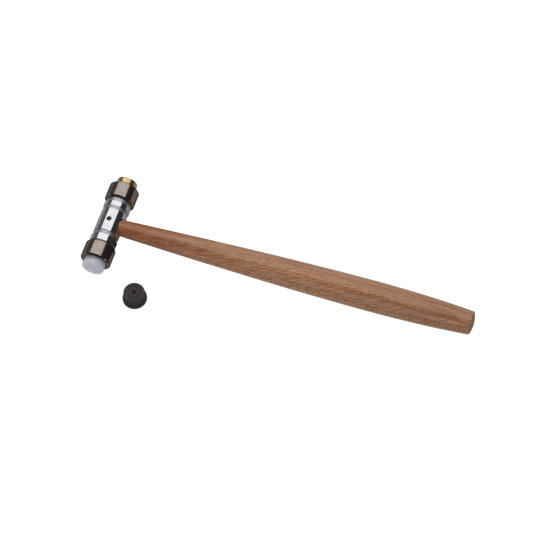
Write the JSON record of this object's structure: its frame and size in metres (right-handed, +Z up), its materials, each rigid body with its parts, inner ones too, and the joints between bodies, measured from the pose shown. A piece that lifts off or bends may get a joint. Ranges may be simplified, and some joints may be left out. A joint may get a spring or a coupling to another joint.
{
  "type": "interchangeable head hammer",
  "caption": "Small bench hammer: chromed barrel head with screw collars that clamp interchangeable brass and nylon faces, a turned wooden handle, and a spare rubber face beside it.",
  "frame": {"origin": "on the bench, under the middle of the box round the hammer and its spare face", "axes": "+X along the handle from head to butt, +Y along the head from nylon face to brass face, +Z up"},
  "size_m": [0.226, 0.0742, 0.018],
  "materials": {
    "chromed_steel": "bright chrome plate over turned steel",
    "pin_steel": "plain steel, sunk and darkened",
    "handle_wood": "turned, stained red-brown and satin varnished",
    "turned_brass": "turned brass, fine lathe lines",
    "black_nickel": "polished black nickel plate",
    "white_nylon": "turned natural nylon, slightly see-through",
    "black_rubber": "moulded matt rubber"
  },
  "bodies": {
    "hammer": {"head_barrel": "chromed_steel", "cross_pin": "pin_steel", "handle": "handle_wood"},
    "brass_face": {"brass_insert": "turned_brass"},
    "brass_collar": {"brass_collar": "black_nickel"},
    "nylon_face": {"nylon_insert": "white_nylon"},
    "nylon_collar": {"nylon_collar": "black_nickel"},
    "rubber_face": {"rubber_insert": "black_rubber"}
  },
  "joints": [
    {"name": "brass_face_slide", "type": "slide", "parent": "hammer", "child": "brass_face", "axis": [0, 1, 0], "range_m": [0, 0.0071]},
    {"name": "brass_collar_turn", "type": "hinge", "parent": "brass_face", "child": "brass_collar", "pos_m": [-0.104, 0.02712, 0.009], "axis": [0, 1, 0], "range_deg": [0, 2520]},
    {"name": "nylon_face_slide", "type": "slide", "parent": "hammer", "child": "nylon_face", "axis": [0, -1, 0], "range_m": [0, 0.0071]},
    {"name": "nylon_collar_turn", "type": "hinge", "parent": "nylon_face", "child": "nylon_collar", "pos_m": [-0.104, -0.01358, 0.009], "axis": [0, -1, 0], "range_deg": [0, 2520]},
    {"name": "rubber_face_lift", "type": "slide", "parent": "hammer", "child": "rubber_face", "axis": [0, 0, 1], "range_m": [0, 0.05]}
  ],
  "couplings": [
    {"joint": "brass_face_slide", "follows": "brass_collar_turn", "m_per_rad": 0.00015915},
    {"joint": "nylon_face_slide", "follows": "nylon_collar_turn", "m_per_rad": 0.00015915}
  ]
}
